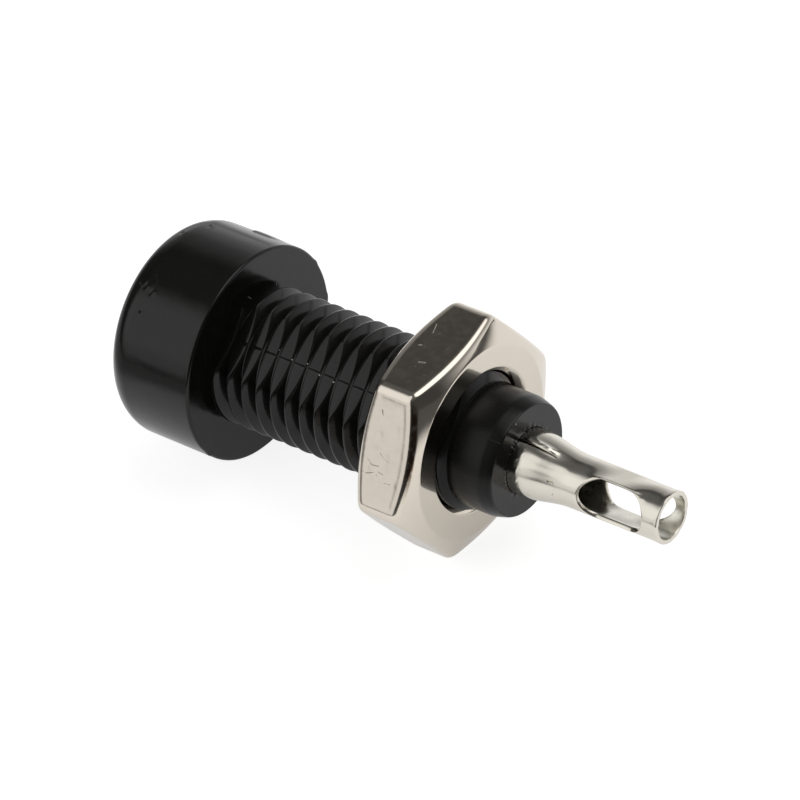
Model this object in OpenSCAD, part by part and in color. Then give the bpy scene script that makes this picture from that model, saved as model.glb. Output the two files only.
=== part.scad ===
// Panel-mount test socket for a 2 mm tip plug: a moulded insulator with a round head and an
// interrupted right-hand thread, a rolled sheet contact that ends in a solder tube, and a hex nut.
// The axis lies along X, from the head (-X) to the solder tube (+X). The origin is the centre of the
// seat under the head, where the front of a panel rests. Angles round the axis are measured from +Z
// towards -Y. All sizes are in millimetres.

/* [Insulator head] */
// Diameter of the head
head_d = 10; // [9:0.1:14]
// Length of the head, from its front face to the panel seat
head_len = 4.9; // [4:0.1:9]
// Rounding of the front edge
front_edge_r = 1.3; // [0.4:0.1:2]
// Rounding of the rim beside the panel seat
seat_edge_r = 0.15; // [0.05:0.05:0.4]

/* [Thread] */
// Major diameter of the thread
thread_d = 6.5; // [5.8:0.05:7.2]
// Pitch of the thread
thread_pitch = 0.8; // [0.6:0.05:1]
// Width of the land on a crest
crest_w = 0.1; // [0.05:0.01:0.16]
// Width of the floor of a groove
root_w = 0.08; // [0.04:0.01:0.14]
// Angle between the flanks of a groove
flank_angle = 60; // [55:1:70]
// Distance from the seat to the first crest on top
first_crest = 0.65; // [0.3:0.05:1.2]
// Distance across the two flats that interrupt the thread
flats_w = 5.56; // [5.1:0.02:5.7]
// Direction that one flat faces
flats_turn = 32; // [0:1:90]

/* [Seat collar] */
// How far the plain collar at the seat stands outside the thread's crests
collar_step = 0.05; // [0.03:0.01:0.08]
// Length of the collar
collar_len = 0.12; // [0.05:0.01:0.3]

/* [Neck] */
// Distance from the seat to the end of the neck
shank_len = 14.6; // [12:0.1:18]
// Length of the neck behind the full thread
neck_len = 2.7; // [2.7:0.1:5]
// Height of the plain neck above the floor of the thread's grooves
neck_step = 0.04; // [0.04:0.01:0.3]
// Length of the tapered end
taper_len = 0.6; // [0.2:0.1:1]
// How much the radius falls over the tapered end
taper_drop = 0.17; // [0:0.01:0.4]

/* [Plug passage] */
// Diameter of the tip plug that the socket takes
plug_d = 2; // [1.8:0.05:2.2]
// Gap round the plug in its entry
entry_gap = 0.1; // [0.05:0.01:0.2]
// Thickness of the front wall that the entry passes through
front_wall = 1.9; // [1.2:0.1:2.5]
// Depth of the entry's countersink
lead_in = 0.3; // [0.1:0.05:0.5]

/* [Contact] */
// Outside diameter of the rolled sheet inside the insulator
sleeve_d = 3; // [2.9:0.05:3.3]
// Outside diameter of the solder tube at its mouth
tube_d = 2.36; // [2.1:0.02:2.6]
// How much the tube's radius grows from the ring at its mouth to the shoulder
tube_draft = 0.02; // [0.01:0.01:0.08]
// Thickness of the sheet
sheet_t = 0.22; // [0.15:0.01:0.3]
// Gap between the contact and the insulator
contact_gap = 0.05; // [0.03:0.01:0.1]
// Length of the contact behind the neck
tail_len = 7.5; // [6.5:0.1:10]
// Length of sleeve that shows behind the neck before it narrows
sleeve_len = 0.4; // [0.1:0.05:0.8]
// Length over which the sleeve narrows to the tube
shoulder_len = 2.4; // [1.5:0.1:2.6]
// How far the leaves are pinched inside the plug's surface
pinch = 0.06; // [0.02:0.01:0.12]
// Length of the spring leaves
leaf_len = 8; // [5:0.5:10]
// Width of the slits between the leaves
slit_w = 0.36; // [0.2:0.02:0.5]
// Direction that the open seam faces
seam_turn = 9; // [-40:1:40]
// Width of the open seam inside the insulator
seam_w = 0.16; // [0.1:0.02:0.4]
// Length over which the open seam closes behind the neck
seam_len = 2; // [0.6:0.1:2.4]

/* [Solder slot] */
// Length of the slot through the tube
slot_len = 3.3; // [2:0.1:3.6]
// Width of the slot
slot_w = 1.85; // [1.2:0.05:1.9]
// Length of the straight ring at the tube's mouth
ring_len = 0.7; // [0.5:0.05:1.2]
// Distance between the slot and the straight ring
slot_gap = 0.1; // [0.05:0.05:0.4]
// Direction that the slot faces
slot_turn = 69; // [0:1:180]

/* [Hex nut] */
// Distance across the flats
nut_af = 9.9; // [8.5:0.1:12]
// Thickness of the nut
nut_len = 3.1; // [2:0.05:4]
// How far the nut stands past the end of the full thread
nut_past = 0.3; // [-7:0.1:1.2]
// Gap between the nut's bore and the thread's crests
nut_gap = 0.06; // [0.03:0.01:0.1]
// How far the flat ring on each face lies inside the flats
nut_face_in = 0.5; // [0.1:0.05:0.5]
// Angle of the corner chamfers
nut_chamfer = 24; // [20:1:40]
// Width of the worn flat on each corner
nut_corner_w = 0.3; // [0.1:0.05:0.6]
// Depth of the countersinks at both ends of the bore
nut_sink = 0.1; // [0.05:0.05:0.4]

/* [Hidden] */

$fn = 64;
// Overlap that makes cuts and joined solids pass cleanly through each other
over = 0.2;

// Thread form
thread_r = thread_d / 2;
flat_r = flats_w / 2;
flank_tan = tan(flank_angle / 2);
thread_depth = (thread_pitch - crest_w - root_w) / 2 / flank_tan;
root_r = thread_r - thread_depth;
neck_r = root_r + neck_step;
thread_len = shank_len - neck_len;
// The crest sinks to this height above the groove's floor at the end of the run-out
runout_lip = 0.02;
runout_turns = 0.8;
neck_start = thread_len + runout_turns * thread_pitch;

// Thread mesh: columns across a flat and between two flats, from inside the head to inside the neck
flat_cols = 6;
round_cols = 11;
half_cols = flat_cols + round_cols;
turn_cols = 2 * half_cols;
flat_half = acos(flat_r / thread_r);
buried_turns = 3;
thread_turns = buried_turns + 1 + (neck_start - first_crest) / thread_pitch;
last_col = ceil(thread_turns * turn_cols);

// Passage through the insulator
entry_r = plug_d / 2 + entry_gap;
cavity_r = sleeve_d / 2 + contact_gap;
cavity_x = front_wall - head_len;

// Stations of the contact
contact_x = cavity_x + contact_gap;
pinch_x = contact_x + leaf_len / 4;
leaf_x = contact_x + leaf_len;
shoulder_x = shank_len + sleeve_len;
mouth_x = shank_len + tail_len;
ring_x = mouth_x - ring_len;
slot_x = ring_x - slot_gap - slot_len;
seam_x = shank_len + seam_len;
pinch_r = plug_d / 2 - pinch + sheet_t;
leaf_tip_r = entry_r + sheet_t + contact_gap;
shoulder_end_r = tube_d / 2 + tube_draft;
shoulder_steps = 10;

// Nut
nut_at = thread_len + nut_past - nut_len;
nut_bore_r = thread_r + nut_gap;
nut_corner_r = nut_af / sqrt(3);
nut_face_r = nut_af / 2 - nut_face_in;
nut_trim_r = (nut_corner_r - nut_corner_w / 2 / tan(60)) / cos(30);

// Direction round the axis, from +Z towards -Y
function around(r, turn) = [-r * sin(turn), r * cos(turn)];

// Turns a shape that was drawn along Z so that it lies along X, with its X pointing up
module along_x() {
    rotate([0, 90, 0]) rotate([0, 0, 180]) children();
}

// Outline of half a disc from station x0 to x1, with rounded rims of radius e0 and e1
module rim_rounded(r, x0, x1, e0, e1) {
    translate([0, x0]) square([r - e0, x1 - x0]);
    translate([0, x0 + e0]) square([r, x1 - x0 - e0 - e1]);
    translate([0, x0 + e0]) square([r - e1, x1 - x0 - e0]);
    translate([r - e0, x0 + e0]) circle(e0);
    translate([r - e1, x1 - e1]) circle(e1);
}

// Angle of column c of the thread mesh: evenly spaced across each flat, then to the next flat
function col_turn(c) =
    let (whole = floor(c / half_cols), part = c - whole * half_cols)
    180 * whole + flats_turn + (part <= flat_cols
        ? flat_half * (2 * part / flat_cols - 1)
        : flat_half + (180 - 2 * flat_half) * (part - flat_cols) / round_cols);

// Station of the crest at column c, which starts inside the head
function crest_x(c) = first_crest + thread_pitch * (col_turn(c) / 360 - buried_turns);

// Height of the crest at column c: cut off by the flats, and sinking over the run-out
function crest_r(c) =
    let (
        bearing = col_turn(c) - flats_turn,
        flat_cut = flat_r / max(abs(cos(bearing)), flat_r / thread_r),
        sunk = (crest_x(c) - thread_len) / (runout_turns * thread_pitch),
        run_out = thread_r - thread_depth * max(sunk, 0))
    max(min(thread_r, flat_cut, run_out), root_r + runout_lip);

// Four corners of the thread's section at column c: flank foot, crest, crest, flank foot
function section(c) =
    let (
        x = crest_x(c),
        r = crest_r(c),
        land = crest_w / 2 + (thread_r - r) * flank_tan,
        foot = (thread_pitch - root_w) / 2,
        low = around(root_r, col_turn(c)),
        high = around(r, col_turn(c)))
    [[x - foot, low[0], low[1]], [x - land, high[0], high[1]],
     [x + land, high[0], high[1]], [x + foot, low[0], low[1]]];

// Interrupted thread on a solid core: one strip wound round the axis, each turn joined to the next
// across the groove's floor, and closed by a fan at both ends
module thread() {
    corners = [for (c = [0:last_col]) each section(c)];
    head_end = len(corners);
    neck_end = head_end + 1;
    points = concat(corners, [[crest_x(0), 0, 0], [crest_x(last_col), 0, 0]]);
    strip = [for (c = [0:last_col - 1], k = [0:2]) each
        [[4 * c + k, 4 * c + k + 1, 4 * c + k + 5], [4 * c + k, 4 * c + k + 5, 4 * c + k + 4]]];
    floors = [for (c = [0:last_col - turn_cols - 1]) let (next = 4 * (c + turn_cols)) each
        [[4 * c + 3, next, next + 4], [4 * c + 3, next + 4, 4 * c + 7]]];
    first_rim = concat([for (c = [0:turn_cols]) 4 * c], [3, 2, 1, 0]);
    last = 4 * last_col;
    last_rim = concat([for (c = [last_col - turn_cols:last_col]) 4 * c + 3],
        [last + 2, last + 1, last, 4 * (last_col - turn_cols) + 3]);
    caps = concat(
        [for (i = [0:len(first_rim) - 2]) [head_end, first_rim[i], first_rim[i + 1]]],
        [for (i = [0:len(last_rim) - 2]) [neck_end, last_rim[i + 1], last_rim[i]]]);
    polyhedron(points, concat(strip, floors, caps));
}

// Head with its rounded front edge, the collar on its seat, and the neck with its tapered end
module head_and_neck() {
    along_x() rotate_extrude() rim_rounded(head_d / 2, -head_len, 0, front_edge_r, seat_edge_r);
    along_x() translate([0, 0, -over]) cylinder(r = thread_r + collar_step, h = over + collar_len);
    along_x() rotate_extrude() polygon([
        [0, neck_start], [neck_r, neck_start], [neck_r, shank_len - taper_len],
        [neck_r - taper_drop, shank_len], [0, shank_len]]);
}

// Passage: plug entry with its countersink, then the cavity that holds the contact
module passage() {
    along_x() rotate_extrude() polygon([
        [0, -head_len - over], [entry_r + lead_in + over, -head_len - over], [entry_r, lead_in - head_len],
        [entry_r, cavity_x], [cavity_r, cavity_x], [cavity_r, shank_len + over], [0, shank_len + over]]);
}

// One-piece moulded insulator
module insulator_body() {
    color([0.05, 0.05, 0.05]) difference() {
        union() {
            head_and_neck();
            thread();
        }
        passage();
    }
}

// Outer line of the contact from the leaves' tips to the mouth, moved in by the depth t
function contact_line(t) = concat(
    [[leaf_tip_r - t, contact_x], [pinch_r - t, pinch_x], [sleeve_d / 2 - t, leaf_x]],
    [for (i = [0:shoulder_steps])
        let (s = i / shoulder_steps, drop = (1 - cos(180 * s)) / 2)
        [sleeve_d / 2 + (shoulder_end_r - sleeve_d / 2) * drop - t, shoulder_x + s * shoulder_len]],
    [[tube_d / 2 - t, ring_x], [tube_d / 2 - t, mouth_x]]);

// Rolled sheet before its slits and slot are cut
module rolled_sheet() {
    outer = contact_line(0);
    inner = contact_line(sheet_t);
    along_x() rotate_extrude()
        polygon(concat(outer, [for (i = [len(inner) - 1:-1:0]) inner[i]]));
}

// Open seam: of even width inside the insulator, closing to a point behind it
module seam() {
    rotate([seam_turn, 0, 0]) linear_extrude(sleeve_d) polygon([
        [contact_x - over, -seam_w / 2], [shank_len, -seam_w / 2], [seam_x, 0],
        [shank_len, seam_w / 2], [contact_x - over, seam_w / 2]]);
}

// Slits that part the leaves, square to the seam and opposite to it
module leaf_slits() {
    for (turn = [90, 180, 270])
        rotate([seam_turn + turn, 0, 0]) translate([contact_x - over, -slit_w / 2, 0])
            cube([leaf_len + over, slit_w, sleeve_d]);
}

// Round-ended slot right through the tube
module solder_slot() {
    rotate([slot_turn, 0, 0]) translate([slot_x, 0, -tube_d]) linear_extrude(2 * tube_d) {
        translate([slot_w / 2, 0]) circle(slot_w / 2);
        translate([slot_len - slot_w / 2, 0]) circle(slot_w / 2);
        translate([slot_w / 2, -slot_w / 2]) square([slot_len - slot_w, slot_w]);
    }
}

// Contact rolled from one sheet: spring leaves, sleeve and solder tube
module contact() {
    color([0.83, 0.82, 0.78]) difference() {
        rolled_sheet();
        seam();
        leaf_slits();
        solder_slot();
    }
}

// Hex nut with worn corners, chamfered on both faces, with a countersunk bore that clears the thread
module hex_nut() {
    chamfer_r = nut_corner_r + over;
    chamfer_len = (chamfer_r - nut_face_r) * tan(nut_chamfer);
    color([0.72, 0.69, 0.65]) translate([nut_at, 0, 0]) difference() {
        intersection() {
            along_x() rotate([0, 0, 30]) cylinder(r = nut_corner_r, h = nut_len, $fn = 6);
            along_x() cylinder(r = nut_trim_r, h = nut_len, $fn = 6);
            along_x() rotate_extrude() polygon([
                [0, 0], [nut_face_r, 0], [chamfer_r, chamfer_len],
                [chamfer_r, nut_len - chamfer_len], [nut_face_r, nut_len], [0, nut_len]]);
        }
        along_x() rotate_extrude() polygon([
            [0, -over], [nut_bore_r + nut_sink + over, -over], [nut_bore_r, nut_sink],
            [nut_bore_r, nut_len - nut_sink], [nut_bore_r + nut_sink + over, nut_len + over], [0, nut_len + over]]);
    }
}

insulator_body();
contact();
hex_nut();
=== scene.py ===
"""Looks of a panel-mount test socket: a glossy black moulding with an interrupted thread, a plated hex nut
and a rolled contact that ends in a slotted solder tube, lying on a white studio floor."""

import math

import bmesh
import bpy
from mathutils import Matrix, Vector, geometry, kdtree, noise


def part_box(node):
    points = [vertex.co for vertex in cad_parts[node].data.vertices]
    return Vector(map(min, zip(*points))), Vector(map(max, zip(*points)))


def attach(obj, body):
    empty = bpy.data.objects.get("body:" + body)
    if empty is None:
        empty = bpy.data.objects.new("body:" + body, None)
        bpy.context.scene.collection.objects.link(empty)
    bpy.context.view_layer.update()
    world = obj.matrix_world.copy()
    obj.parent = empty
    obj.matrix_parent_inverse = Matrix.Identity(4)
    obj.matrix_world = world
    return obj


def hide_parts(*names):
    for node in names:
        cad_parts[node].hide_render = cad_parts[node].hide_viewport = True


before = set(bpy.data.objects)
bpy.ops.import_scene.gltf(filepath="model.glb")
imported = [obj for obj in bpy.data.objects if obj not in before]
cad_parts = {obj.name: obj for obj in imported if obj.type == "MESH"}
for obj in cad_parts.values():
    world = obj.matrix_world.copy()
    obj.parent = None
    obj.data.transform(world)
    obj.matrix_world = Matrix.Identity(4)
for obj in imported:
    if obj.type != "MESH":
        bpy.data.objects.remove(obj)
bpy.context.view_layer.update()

# Meshes are worked out in millimetres and scaled to metres at the end
MM = 0.001
# Points closer than this are one point, in millimetres
WELD = 1e-4
# Edges sharper than this are shaded as edges, in degrees
SHARP = 38

# View of the photograph: its frame in pixels, and the camera in metres and degrees
IMAGE_PX = 800
FOCAL_PX = 5000
SENSOR_MM = 36
CAMERA_PLACE = (0.119821, -0.109934, 0.148742)
CAMERA_AZIMUTH = 45.506
CAMERA_ELEVATION = 43.352
CAMERA_ROLL = -13.3025


def make_camera():
    """Camera at the photograph's viewing angle."""
    data = bpy.data.cameras.new("camera")
    data.sensor_width = SENSOR_MM
    data.lens = SENSOR_MM * FOCAL_PX / IMAGE_PX
    data.clip_start = 0.01
    data.clip_end = 10
    camera = bpy.data.objects.new("camera", data)
    camera.matrix_world = (
        Matrix.Translation(CAMERA_PLACE)
        @ Matrix.Rotation(math.radians(CAMERA_AZIMUTH), 4, "Z")
        @ Matrix.Rotation(math.radians(90 - CAMERA_ELEVATION), 4, "X")
        @ Matrix.Rotation(math.radians(CAMERA_ROLL), 4, "Z"))
    bpy.context.scene.collection.objects.link(camera)
    bpy.context.scene.camera = camera


make_camera()


def node_box(node):
    """Lowest and highest corner of a CAD node at rest, in millimetres."""
    low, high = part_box(node)
    return [v / MM for v in low], [v / MM for v in high]


# Sizes that the frame gives
body_low, body_high = node_box("insulator_body")
contact_low, contact_high = node_box("contact")
nut_low, nut_high = node_box("hex_nut")
HEAD_R = body_high[2]
FRONT_X = body_low[0]
SHANK_END = body_high[0]
CONTACT_X = contact_low[0]
MOUTH_X = contact_high[0]
SLEEVE_R = contact_high[2]
NUT_X = nut_low[0]
NUT_LEN = nut_high[0] - nut_low[0]
NUT_FLAT_R = nut_high[2]

# Head: rounded edges, and the passage for the plug
FRONT_EDGE_R = 1.3
SEAT_EDGE_R = 0.12
ENTRY_R = 1.1
LEAD_IN = 0.3
FRONT_WALL = 1.9
CAVITY_R = 1.55
CAVITY_X = FRONT_X + FRONT_WALL

# Thread form and its two flats
THREAD_R = 3.25
PITCH = 0.8
CREST_W = 0.1
ROOT_W = 0.08
FIRST_CREST = 0.65
FLANK_ANGLE = 60
FLAT_R = 2.78
FLATS_TURN = 32
FLANK_TAN = math.tan(math.radians(FLANK_ANGLE / 2))
FLANK_SIN = math.sin(math.radians(FLANK_ANGLE / 2))
FLANK_COS = math.cos(math.radians(FLANK_ANGLE / 2))
THREAD_DEPTH = (PITCH - CREST_W - ROOT_W) / 2 / FLANK_TAN
ROOT_R = THREAD_R - THREAD_DEPTH
FLAT_HALF = math.degrees(math.acos(FLAT_R / THREAD_R))
CREST_EASE = 0.035
ROOT_EASE = 0.03

# Plain neck and its tapered end; the crest sinks and the groove fills up where the thread runs out on it
NECK_STEP = 0.04
NECK_R = ROOT_R + NECK_STEP
NECK_LEN = 2.8
TAPER_LEN = 0.6
TAPER_DROP = 0.17
TAPER_X = SHANK_END - TAPER_LEN
RUNOUT_X = SHANK_END - NECK_LEN
RUNOUT_LEN = 0.8
RUNOUT_END = RUNOUT_X + RUNOUT_LEN

# Mould line along the middle of both flats: a fine groove, with burrs beside it where it leaves a land
LINE_HALF = 0.8
LINE_DEPTH = 0.035
LINE_RIDGE = 0.022
BURR_TURN = 1.3
BURR_HALF = 0.9
BURR_H = 0.05

# Marks of moulding on the head: the gate's stub and uneven spots on the rim, and nicks by the front edge
GATE_TURN = -47
GATE_HALF = 4.5
GATE_X = (-2.2, -0.3)
GATE_H = 0.06
NICKS = ((-3.35, -26), (-3.94, -12), (-3.5, 8), (-3.35, 20), (-3.94, 26), (-3.6, 26), (-3.2, 28), (-3.35, 39))
NICK_LEN = 0.06
NICK_WIDTH = 0.14
NICK_H = 0.04
RIM_SPOTS = (-72, -98, 119)
RIM_SPOT_H = 0.045
RIM_WAVE = 0.02

# Ragged edge of the hole that the contact comes out of
HOLE_GAP = 0.004
HOLE_RAG = 0.03

# Nut: chamfers, worn edges, and an internal thread that clears the shank's
NUT_CORNER_EDGE = 0.6
NUT_FACE_IN = 0.52
NUT_CHAMFER = 24
NUT_FACE_EDGE = 0.07
NUT_RIM_EDGE = 0.3
NUT_SINK = 0.05
# The countersinks stand off centre by this much, towards this angle
SINK_OFF = 0.07
SINK_TURN = -45
# One flat is bruised: dished inside its edges, with dents at these places (station, angle)
BRUISED_TURN = 60
DISH_DEPTH = 0.012
DISH_MARGIN = 0.02
DISH_EDGE = 0.16
DENTS = ((9.81, 71), (10.75, 63), (10.66, 67), (11.26, 75), (10.24, 52), (11.04, 47), (10.04, 60))
DENT_SIZE = 0.14
DENT_DEPTH = 0.012
FLAT_ROWS = 12
THREAD_GAP = 0.06
FLANK_GAP = 0.03
NUT_MINOR_R = 2.87

# Rolled contact: sheet, stations along the axis, seam, slits and slot
SHEET_T = 0.22
SHEET_EDGE = 0.05
LEAF_LEN = 8
LEAF_TIP_R = ENTRY_R + SHEET_T + 0.05
PINCH_R = 0.94 + SHEET_T
SHOULDER_X = SHANK_END + 0.4
SHOULDER_LEN = 2.4
TUBE_R = 1.18
TUBE_DRAFT = 0.02
RING_LEN = 0.7
SLIT_W = 0.36
SEAM_W = 0.1
SEAM_TURN = 9
SEAM_X = SHANK_END + 2
SLOT_TURN = 69
SLOT_LEN = 3.3
SLOT_W = 1.85
SLOT_GAP = 0.1
SLOT_HALF_TURN = math.degrees(math.asin(SLOT_W / 2 / TUBE_R))
# Traces of rolling on the contact: the seam's curled lip, the far slot's longer end, the strip pressed flat
# beside each slot, the mouth's flare and its ragged edges
LIP_H = 0.11
LIP_PEAK = 6
LIP_TURN = 15
FAR_REACH = 0.3
STRIP_TURN = -24
STRIP_R = 1.06
FLARE = 0.02
MOUTH_RAG = 0.03
ROOT_RAG = 0.035
# Angle where the sheet's flat pattern is cut, between the slot's two sides
PATTERN_TURN = 159
# Radius at which the flat pattern is measured, and its whole length round the axis
PATTERN_R = 1.25
PATTERN_LEN = 2 * math.pi * PATTERN_R


def on_axis(x, r, turn):
    """Point at station x and distance r from the axis, turned by an angle from +Z towards -Y."""
    t = math.radians(turn)
    return Vector((x, -r * math.sin(t), r * math.cos(t)))


def smooth_step(value, low, high):
    """0 below low, 1 above high and an even curve between."""
    s = min(max((value - low) / (high - low), 0), 1)
    return s * s * (3 - 2 * s)


def plateau(value, low, full, fading, gone):
    """0 up to low and from gone on, 1 between full and fading, and even curves between."""
    return smooth_step(value, low, full) * (1 - smooth_step(value, fading, gone))


def ring(bm, columns, place):
    """Row of points round the axis; place gives (x, r) for an angle."""
    return [bm.verts.new(on_axis(*place(turn), turn)) for turn in columns]


def bridge(bm, low, high, closed=True):
    """Joins two rows of points with faces."""
    count = len(low)
    for i in range(count if closed else count - 1):
        j = (i + 1) % count
        bm.faces.new((low[i], low[j], high[j], high[i]))


def lathe(bm, columns, outline, moved):
    """Rows of an outline of (x, r) points turned round the axis, each moved as moved(x, r, turn) says."""
    rows = [ring(bm, columns, lambda turn: moved(x, r, turn)) for x, r in outline]
    for low, high in zip(rows, rows[1:]):
        bridge(bm, low, high)
    return rows


def arc(x, r, size, start, end, steps):
    """Rounded edge about the centre (x, r); 0 degrees points away from the axis and 90 along it."""
    angles = [math.radians(start + (end - start) * i / steps) for i in range(steps + 1)]
    return [(x + size * math.sin(a), r + size * math.cos(a)) for a in angles]


def eased_corner(before, corner, after, steps=2):
    """Points that round off a corner of an outline."""
    points = []
    for i in range(steps + 1):
        t = i / steps
        weights = ((1 - t) ** 2, 2 * t * (1 - t), t * t)
        points.append(tuple(sum(w * p[k] for w, p in zip(weights, (before, corner, after))) for k in (0, 1)))
    return points


def ragged(x, turn, scale):
    """Unevenness between -1 and 1 at a place on the part, the same on every run."""
    return noise.noise(on_axis(x, 1, turn) * scale)


def make_piece(name, bm, body, node, material):
    """Welds and shades a mesh, scales it to metres and sets it in a CAD node's place."""
    bmesh.ops.remove_doubles(bm, verts=bm.verts, dist=WELD)
    bmesh.ops.dissolve_degenerate(bm, dist=WELD, edges=bm.edges)
    bmesh.ops.recalc_face_normals(bm, faces=bm.faces)
    for face in bm.faces:
        face.smooth = True
    for edge in bm.edges:
        edge.smooth = edge.calc_face_angle(0) < math.radians(SHARP)
    bm.transform(Matrix.Scale(MM, 4))
    mesh = bpy.data.meshes.new(name)
    bm.to_mesh(mesh)
    bm.free()
    mesh.materials.append(material)
    piece = bpy.data.objects.new(name, mesh)
    bpy.context.scene.collection.objects.link(piece)
    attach(piece, body)
    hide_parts(node)


def crest_x(turn):
    """Station of the thread's crest at an angle that counts whole turns."""
    return FIRST_CREST + PITCH * turn / 360


def section_height(section, x, turn):
    """Height at station x of a thread that section(turn) describes."""
    whole = round((x - FIRST_CREST) / PITCH - turn / 360)
    points = section(turn + 360 * whole)
    for (x0, r0), (x1, r1) in zip(points, points[1:]):
        if x <= x1:
            return r0 + (r1 - r0) * max(x - x0, 0) / max(x1 - x0, WELD)
    return points[-1][1]


def wind(bm, columns, section, low_x, high_x):
    """Winds a thread's section round the axis as one strip, cut off square at two stations."""
    first = math.floor((low_x - FIRST_CREST) / PITCH) - 2
    last = math.ceil((high_x - FIRST_CREST) / PITCH) + 2
    before = None
    for turn in (360 * whole + column for whole in range(first, last) for column in columns):
        points = section(turn)
        row = []
        for x, r in points:
            cut_x = min(max(x, low_x), high_x)
            height = r if cut_x == x else section_height(section, cut_x, turn % 360)
            row.append((x, bm.verts.new(on_axis(cut_x, height, turn))))
        if before:
            join_strip(bm, before, row, low_x, high_x)
        before = row
    loose = [vert for vert in bm.verts if not vert.link_faces]
    bmesh.ops.delete(bm, geom=loose, context="VERTS")


def join_strip(bm, before, row, low_x, high_x):
    """Faces between two neighbouring sections of a strip, apart from those wholly outside its ends."""
    for k in range(len(row) - 1):
        corners = (before[k], row[k], row[k + 1], before[k + 1])
        stations = [x for x, vert in corners]
        if max(stations) > low_x and min(stations) < high_x:
            bm.faces.new([vert for x, vert in corners])


def flat_bearing(turn):
    """Angle from the middle of the nearer flat, between -90 and 90 degrees."""
    return (turn - FLATS_TURN + 90) % 180 - 90


def mould_line(turn):
    """Strength of the mould line at an angle, from 0 to 1."""
    return max(1 - abs(flat_bearing(turn)) / LINE_HALF, 0)


def mould_burr(turn):
    """Strength of the burr beside the mould line at an angle, from 0 to 1."""
    return max(1 - abs(flat_bearing(turn) - BURR_TURN) / BURR_HALF, 0)


def crest_height(turn):
    """Radius of the crest: cut off by the flats, and sinking to the neck over the run-out."""
    x = crest_x(turn)
    flat_cut = FLAT_R / max(math.cos(math.radians(flat_bearing(turn))), FLAT_R / THREAD_R)
    sunk = min(max((x - RUNOUT_X) / RUNOUT_LEN, 0), 1)
    run_out = THREAD_R + (NECK_R - THREAD_R) * sunk
    least = ROOT_R + (NECK_R - ROOT_R) * smooth_step(sunk, 0, 0.3)
    return max(min(THREAD_R, flat_cut, run_out), least)


def root_height(x):
    """Radius of the groove's bottom at station x: it rises to the neck's surface."""
    return ROOT_R + (NECK_R - ROOT_R) * smooth_step(x, RUNOUT_X - PITCH / 2, RUNOUT_END)


def half_section(turn, side):
    """Thread from a groove's middle up to the crest's edge, on the head's side (-1) or the tube's (1)."""
    x = crest_x(turn)
    top = crest_height(turn)
    low = root_height(x + side * PITCH / 2)
    land = CREST_W / 2 + (THREAD_R - top) * FLANK_TAN
    foot = (PITCH - ROOT_W) / 2
    ease = max(min(CREST_EASE, land, (top - low) / 2), 0)
    burr = BURR_H * mould_burr(turn) * (side > 0) * (x < RUNOUT_X)
    line = LINE_DEPTH * mould_line(turn) * (x < RUNOUT_X)
    crest = eased_corner(
        (land + ease * FLANK_SIN, top - ease * FLANK_COS),
        (land, top + burr - line),
        (land - ease, top - line))
    root = [(PITCH / 2, low), (foot, low + ROOT_EASE / 4), (foot - ROOT_EASE / 2, low + ROOT_EASE)]
    return [(x + side * d, min(r, top)) for d, r in root] + [(x + side * d, r) for d, r in crest]


def shank_section(turn):
    """Points (x, r) of the shank's thread at an angle, from one groove's middle to the next."""
    return half_section(turn, -1) + half_section(turn, 1)[::-1]


def shank_height(x, turn):
    """Radius of the shank's thread at station x."""
    return section_height(shank_section, x, turn)


def body_columns():
    """Angles of the moulding's points, closer together at the mould line, the flats' edges and the marks."""
    near = [0, LINE_HALF / 2, LINE_HALF, BURR_TURN, BURR_TURN + BURR_HALF]
    side = near + list(range(5, 31, 3)) + [FLAT_HALF] + list(range(35, 90, 3))
    offsets = set(side) | {-o for o in side} | {90}
    columns = {(FLATS_TURN + half + o) % 360 for o in offsets for half in (0, 180)}
    columns |= {(turn + 0.8 * step) % 360 for x, turn in NICKS for step in range(-4, 5)}
    columns |= {(GATE_TURN + step * GATE_HALF / 4) % 360 for step in range(-4, 5)}
    columns |= {(turn + step) % 360 for turn in RIM_SPOTS for step in range(-4, 5)}
    return sorted(columns)


def turn_between(turn, other):
    """Signed angle from other to turn, between -180 and 180 degrees."""
    return (turn - other + 180) % 360 - 180


def nick_height(x, turn, nick_x, nick_turn):
    """Dent with a lip raised on one side of it."""
    across = math.radians(turn_between(turn, nick_turn)) * HEAD_R / NICK_WIDTH
    dent = math.exp(-across ** 2 - ((x - nick_x) / NICK_LEN) ** 2)
    lip = math.exp(-across ** 2 - ((x - nick_x) / NICK_LEN - 1.6) ** 2)
    return NICK_H * (0.7 * lip - dent)


def head_moved(x, r, turn):
    """Point of the head moved by the gate's stub, the nicks and the rim's unevenness."""
    from_gate = abs(turn_between(turn, GATE_TURN))
    along = plateau(x, GATE_X[0], GATE_X[0] + 0.1, GATE_X[1] - 1.3, GATE_X[1])
    height = GATE_H * along * (1 - smooth_step(from_gate, GATE_HALF - 1.5, GATE_HALF))
    height += sum(nick_height(x, turn, *nick) for nick in NICKS)
    rim = smooth_step(x, -0.3, -0.05) * smooth_step(r, HEAD_R - 0.4, HEAD_R - 0.1)
    spots = sum(math.exp(-(turn_between(turn, spot) / 2.2) ** 2) for spot in RIM_SPOTS)
    height += rim * (RIM_WAVE * ragged(3, turn, 4) + RIM_SPOT_H * spots)
    return x, r + min(height, GATE_H)


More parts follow.
